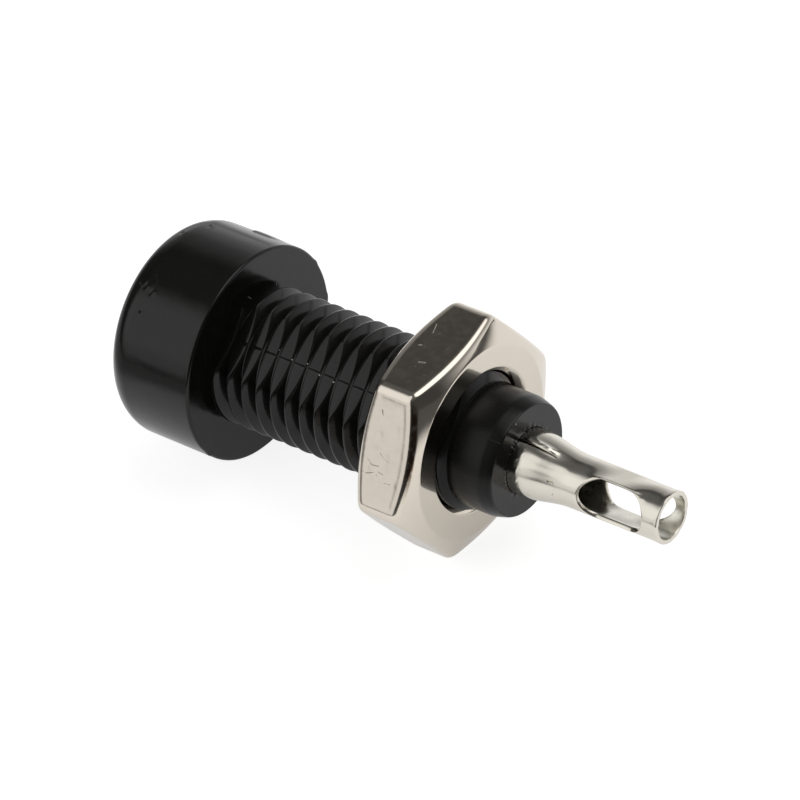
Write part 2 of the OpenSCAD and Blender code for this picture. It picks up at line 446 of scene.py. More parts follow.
def head_outline():
    """Outline from the plug entry over the front edge to the seat."""
    front_r = HEAD_R - FRONT_EDGE_R
    seat_r = HEAD_R - SEAT_EDGE_R
    entry_edge = ENTRY_R + LEAD_IN
    gate_x, gate_end = GATE_X
    side_x = stations(FRONT_X + FRONT_EDGE_R, -2.98, 0.062) + [-2.8, -2.5, gate_x - 0.05]
    side_x += stations(gate_x, gate_x + 0.2, 0.05) + stations(gate_x + 0.2, gate_end, 0.17)
    side_x += [gate_end, gate_end + 0.06, gate_end + 0.12]
    return (
        [(FRONT_X + LEAD_IN, ENTRY_R), (FRONT_X + LEAD_IN / 2, ENTRY_R + LEAD_IN / 2)]
        + arc(FRONT_X + 0.05, entry_edge + 0.05, 0.05, -135, -90, 3)
        + [(FRONT_X, entry_edge + 0.12), (FRONT_X, front_r - 0.8), (FRONT_X, front_r - 0.06)]
        + arc(FRONT_X + FRONT_EDGE_R, front_r, FRONT_EDGE_R, -90, 0, 30)[:-1]
        + [(x, HEAD_R) for x in side_x]
        + arc(-SEAT_EDGE_R, seat_r, SEAT_EDGE_R, 0, 90, 6)
        + [(0, seat_r - 0.03), (0, HEAD_R - 0.4), (0, HEAD_R - 0.8), (0, THREAD_R + 0.1)])


def neck_moved(x, r, turn):
    """Point of the neck moved by the mould line on its taper and by the hole's ragged edge."""
    on_taper = plateau(x, TAPER_X - 0.05, TAPER_X + 0.05, SHANK_END - 0.1, SHANK_END)
    at_hole = smooth_step(x, SHANK_END - 0.1, SHANK_END - 0.02)
    at_hole *= 1 - smooth_step(r, SLEEVE_R + 0.05, SLEEVE_R + 0.3)
    rag = HOLE_RAG * at_hole * ragged(x, turn, 14)
    return x + rag, r + LINE_RIDGE * mould_line(turn) * on_taper + max(rag, 0)


def neck_outline():
    """Outline from the neck over its tapered end, and back through the passage to the plug entry."""
    end_r = NECK_R - TAPER_DROP
    end_edge = 0.05
    hole_r = SLEEVE_R + HOLE_GAP
    taper_edge = eased_corner(
        (TAPER_X - 0.12, NECK_R), (TAPER_X, NECK_R), (TAPER_X + 0.12, NECK_R - TAPER_DROP / 5), 4)
    return (
        [(RUNOUT_END + 0.1, NECK_R), (TAPER_X - 0.3, NECK_R)]
        + taper_edge
        + [(TAPER_X + 0.3, NECK_R - TAPER_DROP / 2), (SHANK_END - 2 * end_edge, end_r + 0.03)]
        + arc(SHANK_END - end_edge, end_r - end_edge, end_edge, 16, 90, 4)
        + [(SHANK_END, end_r - 0.09), (SHANK_END, (end_r + CAVITY_R) / 2)]
        + [(SHANK_END, hole_r + rise) for rise in (0.32, 0.24, 0.17, 0.11, 0.06)]
        + [(SHANK_END - 0.01, hole_r + 0.02), (SHANK_END - 0.04, hole_r), (SHANK_END - 0.12, hole_r)]
        + [(SHANK_END - 0.2, CAVITY_R), (SHANK_END - 3, CAVITY_R), (5, CAVITY_R), (CAVITY_X, CAVITY_R)]
        + [(CAVITY_X, ENTRY_R), (FRONT_X + LEAD_IN, ENTRY_R)])


def make_body(material):
    """Moulded insulator as one closed skin: head, interrupted thread, neck and passage."""
    bm = bmesh.new()
    columns = body_columns()
    head = lathe(bm, columns, head_outline(), head_moved)
    thread_root = ring(bm, columns, lambda turn: (0, shank_height(0, turn)))
    bridge(bm, head[-1], thread_root)
    wind(bm, columns, shank_section, 0, RUNOUT_END)
    thread_end = ring(bm, columns, lambda turn: (RUNOUT_END, NECK_R))
    neck = lathe(bm, columns, neck_outline(), neck_moved)
    bridge(bm, thread_end, neck[0])
    make_piece("moulding", bm, "socket", "insulator_body", material)


def corner_centre():
    """Distance from the axis of the centre of a corner's rounding."""
    return (NUT_FLAT_R - NUT_CORNER_EDGE) / math.cos(math.radians(30))


def corner_half_turn():
    """Angle from a corner to where its rounding meets the flat."""
    along = corner_centre() + NUT_CORNER_EDGE * math.cos(math.radians(30))
    return math.degrees(math.atan2(NUT_CORNER_EDGE / 2, along))


def hex_radius(turn):
    """Radius of the nut's hexagon with rounded corners; one flat faces +Z."""
    from_flat = (turn + 30) % 60 - 30
    from_corner = 30 - abs(from_flat)
    if from_corner < corner_half_turn():
        across = corner_centre() * math.sin(math.radians(from_corner))
        along = corner_centre() * math.cos(math.radians(from_corner))
        return along + math.sqrt(NUT_CORNER_EDGE ** 2 - across ** 2)
    return NUT_FLAT_R / math.cos(math.radians(from_flat))


def nut_columns():
    """Angles of the nut's points, closer together at its corners."""
    side = list(range(0, 27, 2)) + [30 - corner_half_turn() * k for k in (1.3, 1, 0.8, 0.6, 0.4, 0.2)]
    offsets = set(side) | {-o for o in side} | {30}
    return sorted((60 * k + o) % 360 for k in range(6) for o in offsets)


def bruise(x, turn, rim_x):
    """Depth of the bruised flat's dish and dents; rim_x is where the flat starts beside the chamfer."""
    from_middle = turn_between(turn, BRUISED_TURN)
    if abs(from_middle) > 30:
        return 0
    across = NUT_FLAT_R * math.tan(math.radians(from_middle))
    from_side = NUT_FLAT_R * math.tan(math.radians(30 - corner_half_turn())) - abs(across)
    from_edge = min(from_side, x - NUT_X - rim_x, NUT_X + NUT_LEN - rim_x - x)
    depth = DISH_DEPTH * smooth_step(from_edge, DISH_MARGIN, DISH_MARGIN + DISH_EDGE)
    for dent_x, dent_turn in DENTS:
        away = across - NUT_FLAT_R * math.tan(math.radians(dent_turn - BRUISED_TURN))
        depth += DENT_DEPTH * math.exp(-(away ** 2 + (x - dent_x) ** 2) / DENT_SIZE ** 2)
    return depth


def sink_radius(turn):
    """Radius of a countersink at the nut's face."""
    off_centre = SINK_OFF * math.cos(math.radians(turn - SINK_TURN))
    return THREAD_R + THREAD_GAP + NUT_SINK + off_centre


def nut_half_outline(turn):
    """Outline from the countersink over the chamfer to the middle of a flat, measured from the face."""
    slope = math.radians(NUT_CHAMFER)
    face_r = NUT_FLAT_R - NUT_FACE_IN
    rim_r = hex_radius(turn)
    slant = (rim_r - face_r) / math.cos(slope)
    drop = slant * math.sin(slope)
    face_ease = (NUT_FACE_EDGE * math.sin(slope), NUT_FACE_EDGE * math.cos(slope))
    rim_ease = min(NUT_RIM_EDGE, 0.6 * slant)
    rim_start = (drop - rim_ease * math.sin(slope), rim_r - rim_ease * math.cos(slope))
    sink_r = sink_radius(turn)
    sink_edge = [(0.02, sink_r - 0.02), (0, sink_r + 0.02), (0, sink_r + 0.06), (0, (sink_r + face_r) / 2)]
    face_edge = eased_corner(
        (0, face_r - NUT_FACE_EDGE), (0, face_r), (face_ease[0], face_r + face_ease[1]), 4)
    rim_edge = eased_corner(rim_start, (drop, rim_r), (drop + NUT_RIM_EDGE, rim_r), 8)
    rim_x = drop + NUT_RIM_EDGE
    flat_step = (NUT_LEN / 2 - rim_x - 0.04) / FLAT_ROWS
    flat = [(rim_x + 0.04 + flat_step * i, rim_r) for i in range(FLAT_ROWS + 1)]
    return sink_edge + [(0, face_r - 1.6 * NUT_FACE_EDGE)] + face_edge + rim_edge + flat


def nut_outline(turn):
    """Whole outside of the nut at an angle, from its front countersink to its rear one."""
    half = nut_half_outline(turn)
    front = [(NUT_X + x, r) for x, r in half]
    rear = [(NUT_X + NUT_LEN - x, r) for x, r in half]
    rim_x = half[-1 - FLAT_ROWS][0]
    skin = front + rear[-2::-1]
    return [(x, r - bruise(x, turn, rim_x) if r == half[-1][1] else r) for x, r in skin]


def nut_section(turn):
    """Points (x, r) of the nut's internal thread round the shank's crest, widened by both countersinks."""
    x = crest_x(turn)
    root_r = THREAD_R + THREAD_GAP
    root_half = CREST_W / 2 + FLANK_GAP
    minor_half = root_half + (root_r - NUT_MINOR_R) * FLANK_TAN
    minor_edge = [(minor_half + 0.02, NUT_MINOR_R), (minor_half - 0.02, NUT_MINOR_R + 0.03)]
    mid_flank = ((minor_half + root_half) / 2, (NUT_MINOR_R + root_r) / 2)
    half = [(PITCH / 2, NUT_MINOR_R)] + minor_edge + [mid_flank, (root_half, root_r), (0, root_r)]
    points = [(x - d, r) for d, r in half] + [(x + d, r) for d, r in half[-2::-1]]
    return [(px, max(r, countersink(px, turn))) for px, r in points]


def countersink(x, turn):
    """Radius of the nearer countersink's cone at station x."""
    depth = min(x - NUT_X, NUT_X + NUT_LEN - x)
    return sink_radius(turn) - depth


def make_nut(material):
    """Hex nut with worn edges and an internal thread."""
    bm = bmesh.new()
    columns = nut_columns()
    outlines = [nut_outline(turn) for turn in columns]
    rows = []
    for k in range(len(outlines[0])):
        rows.append([bm.verts.new(on_axis(*line[k], turn)) for line, turn in zip(outlines, columns)])
    for low, high in zip(rows, rows[1:]):
        bridge(bm, low, high)
    first_x = NUT_X + 0.02
    last_x = NUT_X + NUT_LEN - 0.02
    wind(bm, columns, nut_section, first_x, last_x)
    make_piece("nut", bm, "nut", "hex_nut", material)


def sheet_radius(x):
    """Outer radius of the rolled sheet at station x."""
    leaf_end = CONTACT_X + LEAF_LEN
    pinch_x = CONTACT_X + LEAF_LEN / 4
    ring_x = MOUTH_X - RING_LEN
    shoulder_end = SHOULDER_X + SHOULDER_LEN
    if x < pinch_x:
        return LEAF_TIP_R + (PINCH_R - LEAF_TIP_R) * (x - CONTACT_X) / (pinch_x - CONTACT_X)
    if x < leaf_end:
        return PINCH_R + (SLEEVE_R - PINCH_R) * (x - pinch_x) / (leaf_end - pinch_x)
    drop = (1 - math.cos(math.pi * min(max((x - SHOULDER_X) / SHOULDER_LEN, 0), 1))) / 2
    draft = TUBE_DRAFT * min(max((ring_x - x) / (ring_x - shoulder_end), 0), 1)
    return SLEEVE_R + (TUBE_R - SLEEVE_R) * drop + draft * drop


def seam_lift(x, turn):
    """How far the seam's upper lip stands off the tube."""
    before_seam = turn_between(SEAM_TURN, turn)
    along = plateau(x, SHANK_END + 0.05, SHANK_END + 0.5, SEAM_X - 0.6, SEAM_X)
    across = plateau(before_seam, -2, LIP_PEAK, LIP_PEAK, LIP_TURN)
    return LIP_H * along * across


def strip_lift(x, turn):
    """How far the strip beside each slot, which is pressed flat, stands off the round tube."""
    low_x, high_x = slot_centres()
    along = plateau(x, low_x - 0.9, low_x + 0.5, high_x - 0.5, high_x + 0.9)
    edge = SLOT_TURN - SLOT_HALF_TURN - STRIP_TURN
    from_middle = (turn - STRIP_TURN + 60) % 180 - 60
    flat_r = STRIP_R / math.cos(math.radians(min(from_middle, edge)))
    if from_middle < 0:
        return along * min(flat_r - TUBE_R, 0)
    return along * (flat_r - TUBE_R) * (1 - smooth_step(from_middle, edge, edge + SLOT_HALF_TURN))


def on_sheet(x, s, depth):
    """Point of the rolled sheet: station x, length s round its flat pattern and depth below its face."""
    turn = PATTERN_TURN + math.degrees(s / PATTERN_R)
    at_root = plateau(x, SHANK_END + 0.12, SHANK_END + 0.3, SHANK_END + 0.42, SHANK_END + 0.6)
    at_mouth = smooth_step(x, MOUTH_X - 0.4, MOUTH_X)
    lift = seam_lift(x, turn) + strip_lift(x, turn) + FLARE * at_mouth
    lift += ROOT_RAG * at_root * max(ragged(x, turn, 9), 0) + MOUTH_RAG * at_mouth ** 4 * ragged(7, turn, 3)
    chipped_x = x - MOUTH_RAG * at_mouth ** 4 * max(ragged(11, turn, 6), 0)
    return on_axis(chipped_x, sheet_radius(x) - depth + lift, turn)


def pattern_s(turn):
    """Length round the flat pattern at an angle."""
    return math.radians((turn - PATTERN_TURN) % 360) * PATTERN_R


def stations(start, end, step):
    """Evenly spaced stations from start up to, and not with, end."""
    count = max(round(abs(end - start) / step), 1)
    return [start + (end - start) * i / count for i in range(count)]


def notch(turn, width, end_x, tip_x):
    """Edge of a slit that runs in from the front, up one side, round its end and back down the other."""
    s = pattern_s(turn)
    half = width / 2 * PATTERN_R / SLEEVE_R
    if end_x == tip_x:
        up = [(x, -half) for x in stations(CONTACT_X, end_x, 0.8)]
        up += [(tip_x + half * math.sin(a), -half * math.cos(a)) for a in (0, math.pi / 4)]
        tip = (tip_x + half, 0)
    else:
        up_x = stations(CONTACT_X, SHANK_END - 1, 0.8) + stations(SHANK_END - 1, tip_x, 0.1)
        up = [(x, -half * min((tip_x - x) / (tip_x - end_x), 1)) for x in up_x]
        tip = (tip_x, 0)
    return [(x, s + w) for x, w in up + [tip] + [(x, -w) for x, w in reversed(up)]]


def front_edge():
    """Front edge of the flat pattern, with the seam and the three slits that part the leaves."""
    leaf_end = CONTACT_X + LEAF_LEN
    cuts = [notch(SEAM_TURN, SEAM_W, SHANK_END, SEAM_X)]
    cuts += [notch(SEAM_TURN + quarter, SLIT_W, leaf_end, leaf_end) for quarter in (90, 180, 270)]
    edge = []
    s = 0
    for points in sorted(cuts, key=lambda cut: cut[0][1]):
        edge += [(CONTACT_X, at) for at in stations(s, points[0][1], 0.25)] + points
        s = points[-1][1] + 0.2
    return edge + [(CONTACT_X, at) for at in stations(s, PATTERN_LEN, 0.25)] + [(CONTACT_X, PATTERN_LEN)]


def mouth_edge():
    """Rear edge of the flat pattern."""
    return [(MOUTH_X, s) for s in stations(0, PATTERN_LEN, 0.1)] + [(MOUTH_X, PATTERN_LEN)]


def slot_centres():
    """Stations of the centres of the slot's two round ends."""
    high_x = MOUTH_X - RING_LEN - SLOT_GAP - SLOT_W / 2
    return high_x - SLOT_LEN + SLOT_W, high_x


def slot_edge(turn, reach):
    """Round-ended slot seen square on, carried over to the flat pattern; its rear end is moved by reach."""
    half = SLOT_W / 2
    low_x, high_x = slot_centres()
    high_x += reach
    upper = [(x, half) for x in stations(low_x, high_x, 0.1)]
    high_end = [(high_x + half * math.sin(a), half * math.cos(a)) for a in stations(0, math.pi, 0.1)]
    line = upper + high_end
    line += [(low_x + high_x - x, -w) for x, w in line]
    return [(x, pattern_s(turn + math.degrees(math.asin(w / sheet_radius(x))))) for x, w in line]


def inset(line, amount, closed):
    """Line moved into the sheet, which lies to the right of its direction in (s, x)."""
    count = len(line)
    moved = []
    for i, (x, s) in enumerate(line):
        x0, s0 = line[(i - 1) % count if closed else max(i - 1, 0)]
        x1, s1 = line[(i + 1) % count if closed else min(i + 1, count - 1)]
        size = max(math.hypot(x1 - x0, s1 - s0), WELD)
        moved.append((x + amount * (s1 - s0) / size, s - amount * (x1 - x0) / size))
    return moved


def inside(x, s, loops):
    """Whether a point of the flat pattern lies in the sheet, by counting the edges that a ray crosses."""
    hit = False
    for loop in loops:
        for (x0, s0), (x1, s1) in zip(loop, loop[1:] + loop[:1]):
            if (s0 > s) != (s1 > s) and x < x0 + (x1 - x0) * (s - s0) / (s1 - s0):
                hit = not hit
    return hit


def pattern_mesh(front, mouth, holes):
    """Points and triangles of the flat pattern inside its edges."""
    rows_x = stations(CONTACT_X + 0.5, SHANK_END - 0.6, 0.8) + stations(SHANK_END - 0.6, SEAM_X, 0.07)
    rows_x += stations(SEAM_X, MOUTH_X - 0.09, 0.09)
    far_side = [(x, PATTERN_LEN) for x in rows_x]
    near_side = [(x, 0) for x in reversed(rows_x)]
    loops = [front + far_side + mouth[::-1] + near_side] + holes
    points = []
    edges = []
    for loop in loops:
        start = len(points)
        points += loop
        edges += [(start + i, start + (i + 1) % len(loop)) for i in range(len(loop))]
    tree = kdtree.KDTree(len(points))
    for i, (x, s) in enumerate(points):
        tree.insert((x, s, 0), i)
    tree.balance()
    for x in rows_x:
        for s in stations(0, PATTERN_LEN, 0.08)[1:]:
            if tree.find((x, s, 0))[2] > 0.05 and inside(x, s, loops):
                points.append((x, s))
    flat = [Vector(point) for point in points]
    found = geometry.delaunay_2d_cdt(flat, edges, [], 0, 1e-6)
    spots = [tuple(v) for v in found[0]]
    faces = [f for f in found[2] if inside(*[sum(spots[i][k] for i in f) / 3 for k in (0, 1)], loops)]
    return spots, faces


def make_contact(material):
    """Contact rolled from one sheet: leaves, sleeve with its seam, and the slotted solder tube."""
    bm = bmesh.new()
    edges = [(front_edge(), False, 1), (mouth_edge(), False, -1)]
    slots = ((SLOT_TURN, 0), (SLOT_TURN + 180, FAR_REACH))
    edges += [(slot_edge(turn, reach), True, -1) for turn, reach in slots]
    rims = [inset(line, SHEET_EDGE * side, closed) for line, closed, side in edges]
    spots, faces = pattern_mesh(rims[0], rims[1], rims[2:])
    for depth in (0, SHEET_T):
        verts = [bm.verts.new(on_sheet(x, s, depth)) for x, s in spots]
        for face in faces:
            bm.faces.new([verts[i] for i in face])
    for line, closed, side in edges:
        sheet_wall(bm, line, closed, side)
    make_piece("rolled_contact", bm, "socket", "contact", material)


def sheet_wall(bm, line, closed, side):
    """Cut edge of the sheet, rounded over to both faces."""
    eased = 0.3 * SHEET_EDGE
    steps = [(SHEET_EDGE, 0), (eased, eased), (0, SHEET_EDGE)]
    steps += [(back, SHEET_T - depth) for back, depth in reversed(steps)]
    rows = []
    for back, depth in steps:
        rows.append([bm.verts.new(on_sheet(x, s, depth)) for x, s in inset(line, back * side, closed)])
    for low, high in zip(rows, rows[1:]):
        bridge(bm, low, high, closed)


def add_node(tree, kind, inputs=None, **settings):
    """Shader node with its settings; an input is a number, a colour or another node's output."""
    made = tree.nodes.new(kind)
    for name, value in settings.items():
        setattr(made, name, value)
    for name, value in (inputs or {}).items():
        if isinstance(value, bpy.types.NodeSocket):
            tree.links.new(value, made.inputs[name])
        else:
            made.inputs[name].default_value = value
    return made


def math_node(tree, operation, a, b=0.0, clamp=False):
    """Output of a Math node."""
    made = add_node(tree, "ShaderNodeMath", {0: a, 1: b}, operation=operation, use_clamp=clamp)
    return made.outputs[0]


def times(tree, a, b):
    """Output of a Math node that multiplies."""
    return math_node(tree, "MULTIPLY", a, b)


def plus(tree, a, b):
    """Output of a Math node that adds."""
    return math_node(tree, "ADD", a, b)


def map_range(tree, value, low, high, to_low, to_high, kind="SMOOTHSTEP"):
    """Output of a Map Range node."""
    made = add_node(
        tree, "ShaderNodeMapRange",
        {"Value": value, "From Min": low, "From Max": high, "To Min": to_low, "To Max": to_high},
        interpolation_type=kind)
    return made.outputs["Result"]


def new_material(name):
    """Empty node material: its tree, its Principled shader, and object coordinates in millimetres."""
    material = bpy.data.materials.new(name)
    material.use_nodes = True
    tree = material.node_tree
    tree.nodes.clear()
    shader = add_node(tree, "ShaderNodeBsdfPrincipled")
    add_node(tree, "ShaderNodeOutputMaterial", {"Surface": shader.outputs[0]})
    coords = add_node(tree, "ShaderNodeTexCoord").outputs["Object"]
    scaled = add_node(tree, "ShaderNodeMapping", {"Vector": coords, "Scale": (1 / MM, 1 / MM, 1 / MM)})
    return material, tree, shader, scaled.outputs[0]


def noise_value(tree, coords, scale, detail=3.0, stretch=None):
    """Output of a Noise texture; its scale is in waves to one unit of the coordinates."""
    if stretch:
        coords = add_node(tree, "ShaderNodeMapping", {"Vector": coords, "Scale": stretch}).outputs[0]
    made = add_node(tree, "ShaderNodeTexNoise", {"Vector": coords, "Scale": scale, "Detail": detail})
    return made.outputs["Fac"]


def set_bump(tree, shader, height, distance):
    """Bump on the shader from a height of 0 to 1 and its depth in millimetres."""
    bump = add_node(tree, "ShaderNodeBump", {"Height": height, "Distance": distance * MM, "Strength": 1.0})
    tree.links.new(bump.outputs[0], shader.inputs["Normal"])


def mix_colour(tree, factor, low, high):
    """Output of a colour mix."""
    made = add_node(tree, "ShaderNodeMix", data_type="RGBA")
    tree.links.new(factor, made.inputs["Factor"])
    for name, value in (("A", low), ("B", high)):
        socket = next(s for s in made.inputs if s.name == name and s.type == "RGBA")
        if isinstance(value, bpy.types.NodeSocket):
            tree.links.new(value, socket)
        else:
            socket.default_value = (*value, 1)
    return next(s for s in made.outputs if s.type == "RGBA")


def vector_node(tree, operation, a, b, output="Vector"):
    """Output of a Vector Math node."""
    return add_node(tree, "ShaderNodeVectorMath", {0: a, 1: b}, operation=operation).outputs[output]


def stroke(tree, coords, start, end, half):
    """1 along a short straight mark between two points in millimetres, and 0 away from it."""
    span = Vector(end) - Vector(start)
    from_start = vector_node(tree, "SUBTRACT", coords, start)
    share = vector_node(tree, "DOT_PRODUCT", from_start, span / span.length_squared, "Value")
    share = math_node(tree, "ADD", share, 0.0, True)
    nearest = add_node(tree, "ShaderNodeVectorMath", {0: span, "Scale": share}, operation="SCALE").outputs[0]
    apart = vector_node(tree, "DISTANCE", from_start, nearest, "Value")
    return map_range(tree, apart, 0.4 * half, half, 1, 0)


def strokes(tree, coords, marks, half):
    """1 along any of several marks."""
    level = stroke(tree, coords, *marks[0], half)
    for mark in marks[1:]:
        level = math_node(tree, "MAXIMUM", level, stroke(tree, coords, *mark, half))
    return level


def surface_normal(tree):
    """Object-space normal."""
    return add_node(tree, "ShaderNodeTexCoord").outputs["Normal"]


# Scratches on the seat under the head
SEAT_SCRATCHES = (((0, 0.38, 3.08), (0, 0.24, 3.32)), ((0, 2.06, 2.46), (0, 2.1, 2.52)))
SEAT_SCRATCH_HALF = 0.05
# Painted glints, pale spots of colour that stand in for highlights (station, radius, angle): beside the mould
# line in the grooves, and by the hole
PAINTED_GLINTS = (
    (2.67, 2.77, 26.5), (3.47, 2.77, 30.5), (4.26, 2.77, 29), (5.06, 2.77, 34.4), (5.86, 2.77, 35.5),
    (14.6, 2.38, 5), (14.62, 1.56, 38), (14.62, 1.57, 85))
GLINT_SIZE = 0.05
# Scratches on the nut's upper flat
FLAT_SCRATCHES = (
    ((9.87, 1.21, 4.95), (10.01, 0.76, 4.95)),
    ((9.93, -0.12, 4.95), (10.03, -0.08, 4.95)),
    ((10.55, -0.97, 4.95), (10.81, -0.89, 4.95)))
FLAT_SCRATCH_HALF = 0.035
# Scores on the bruised flat: station and place across it, from one end to the other
FLAT_SCORES = (
    (10.44, 0.04, 10.59, 0.24), (10.59, 0.24, 10.89, 0.32), (9.89, 0.54, 10.09, 0.69),
    (10.09, 0.69, 10.44, 0.64), (9.84, 1.14, 10.24, 0.99), (10.84, 1.29, 11.14, 1.24),
    (10.19, -1.86, 10.26, -1.61), (10.44, 0.89, 10.69, 0.94))
SCORE_HALF = 0.03
# Dull mark and pit on the tube
TUBE_MARKS = (((20.08, 0.42, 1.1), (20.24, 0.5, 1.07)), ((16.6, -1.13, 0.68), (16.72, -1.1, 0.66)))
TUBE_MARK_HALF = 0.09
# Where the nut's plating is worn through on its rear rim: from none to all, in millimetres
WORN_Y = (-2.8, -3.2)
WORN_Z = (0.6, 2.2)

# Colours of the moulding, of the nut and of the contact
BLACK = ((0.0075, 0.0075, 0.0066), (0.0095, 0.0095, 0.0086))
DUST = (0.018, 0.018, 0.017)
# Pale colour of the painted glints, a painted highlight
GLINT_PALE = (0.6, 0.6, 0.57)
NICKEL = ((0.66, 0.60, 0.52), (0.61, 0.56, 0.49))
NICKEL_PIT = (0.40, 0.34, 0.28)
NICKEL_SCORE = (0.26, 0.22, 0.18)
BARE_BRASS = (0.15, 0.10, 0.07)
TIN = ((0.67, 0.63, 0.55), (0.63, 0.60, 0.54))
# The inside's paler colour is painted light: it is the same tin as the outside, lightened
TIN_INSIDE_PAINTED_LIGHT = (0.72, 0.70, 0.63)
TIN_MARK = (0.42, 0.38, 0.30)
# Refraction of the moulding, and what the neck and the tube's inside add to their roughness
PLASTIC_IOR = 1.36
DULLER = 0.12


def painted_glints(tree, coords):
    """1 at the painted glints, pale spots that stand in for highlights, and 0 away from them."""
    marks = [(on_axis(x, r, turn), on_axis(x + GLINT_SIZE, r, turn)) for x, r, turn in PAINTED_GLINTS]
    return strokes(tree, coords, marks, GLINT_SIZE)


def plastic_material():
    """Glossy black moulding, duller on the neck, with cloudy gloss, faint ripple, dust, fine scratches and
    painted glints.
    """
    material, tree, shader, coords = new_material("gloss_plastic")
    cloud = noise_value(tree, coords, 0.7)
    dust = map_range(tree, noise_value(tree, coords, 9, 2), 0.72, 0.78, 0, 1)
    tint = mix_colour(tree, cloud, *BLACK)
    colour = mix_colour(tree, dust, tint, DUST)
    # Painted highlights: pale colour at the glints stands in for light caught by the mould line's burrs and
    # the hole's ragged edge
    colour = mix_colour(tree, painted_glints(tree, coords), colour, GLINT_PALE)
    tree.links.new(colour, shader.inputs["Base Color"])
    gloss = map_range(tree, cloud, 0.3, 0.7, 0.12, 0.19)
    rough = plus(tree, gloss, times(tree, dust, 0.25))
    along = add_node(tree, "ShaderNodeSeparateXYZ", {0: coords}).outputs["X"]
    on_neck = map_range(tree, along, RUNOUT_X, RUNOUT_X + 0.6, 0, 1)
    off_end = map_range(tree, along, SHANK_END - 0.02, SHANK_END - 0.1, 0, 1)
    on_neck = times(tree, on_neck, off_end)
    rough = plus(tree, rough, times(tree, on_neck, DULLER))
    tree.links.new(rough, shader.inputs["Roughness"])
    tree.links.new(map_range(tree, on_neck, 0, 1, 0.5, 0.3), shader.inputs["Specular IOR Level"])
    shader.inputs["IOR"].default_value = PLASTIC_IOR
    scratch = strokes(tree, coords, SEAT_SCRATCHES, SEAT_SCRATCH_HALF)
    ripple = noise_value(tree, coords, 1.6, 2)
    height = math_node(tree, "SUBTRACT", ripple, times(tree, scratch, 4))
    set_bump(tree, shader, height, 0.006)
    return material


def worn_rim(tree, coords, facing, mottle):
    """Where the plating is worn through to the brass: along the rear rim on the viewer's side."""
    place = add_node(tree, "ShaderNodeSeparateXYZ", {0: coords}).outputs
    rim = map_range(tree, facing, 0.2, 0.45, 0, 1)
    rim = times(tree, rim, map_range(tree, facing, 0.88, 0.8, 0, 1))
    side = map_range(tree, place["Y"], *WORN_Y, 0, 1)
    side = times(tree, side, map_range(tree, place["Z"], *WORN_Z, 0, 1))
    patchy = map_range(tree, mottle, 0.35, 0.5, 0.5, 1)
    return times(tree, rim, times(tree, side, patchy))


def bruised_flat(tree):
    """1 on the flat that is bruised, and 0 on the others."""
    middle = on_axis(0, 1, BRUISED_TURN)
    turned = vector_node(tree, "DOT_PRODUCT", surface_normal(tree), middle, "Value")
    return map_range(tree, turned, 0.9, 0.97, 0, 1)


def flat_scores(tree, coords):
    """1 along the scores on the bruised flat, and 0 away from them."""
    def place(x, across):
        turn = BRUISED_TURN + math.degrees(math.atan2(across, NUT_FLAT_R))
        return on_axis(x, math.hypot(NUT_FLAT_R - DISH_DEPTH, across), turn)
    marks = [(place(*score[:2]), place(*score[2:])) for score in FLAT_SCORES]
    return strokes(tree, coords, marks, SCORE_HALF)


def nut_material():
    """Warm nickel plate: bright faces, duller flats, and a few scratches and dents."""
    material, tree, shader, coords = new_material("nickel_plate")
    film = noise_value(tree, coords, 0.6, 4)
    mottle = noise_value(tree, coords, 3.5, 4)
    pits = map_range(tree, noise_value(tree, coords, 4.5, 3), 0.7, 0.78, 0, 1)
    facing = add_node(tree, "ShaderNodeSeparateXYZ", {0: surface_normal(tree)}).outputs["X"]
    on_flat = map_range(tree, math_node(tree, "ABSOLUTE", facing), 0.9, 0.2, 0, 1)
    plate = mix_colour(tree, film, *NICKEL)
    plate = mix_colour(tree, times(tree, pits, on_flat), plate, NICKEL_PIT)
    patchy = map_range(tree, mottle, 0.4, 0.6, 0.2, 0.8)
    scores = times(tree, flat_scores(tree, coords), patchy)
    plate = mix_colour(tree, scores, plate, NICKEL_SCORE)
    colour = mix_colour(tree, worn_rim(tree, coords, facing, mottle), plate, BARE_BRASS)
    tree.links.new(colour, shader.inputs["Base Color"])
    shader.inputs["Metallic"].default_value = 1.0
    dull = times(tree, on_flat, map_range(tree, mottle, 0.3, 0.7, 0.02, 0.08))
    tree.links.new(plus(tree, dull, 0.08), shader.inputs["Roughness"])
    scratch = times(tree, strokes(tree, coords, FLAT_SCRATCHES, FLAT_SCRATCH_HALF), 5)
    scratch = math_node(tree, "SUBTRACT", scratch, times(tree, scores, 3))
    worn = plus(tree, pits, times(tree, mottle, 0.5))
    worn = times(tree, worn, on_flat)
    uneven = times(tree, noise_value(tree, coords, 1.5, 4), bruised_flat(tree))
    worn = plus(tree, worn, times(tree, uneven, 1.6))
    set_bump(tree, shader, plus(tree, worn, scratch), 0.004)
    return material


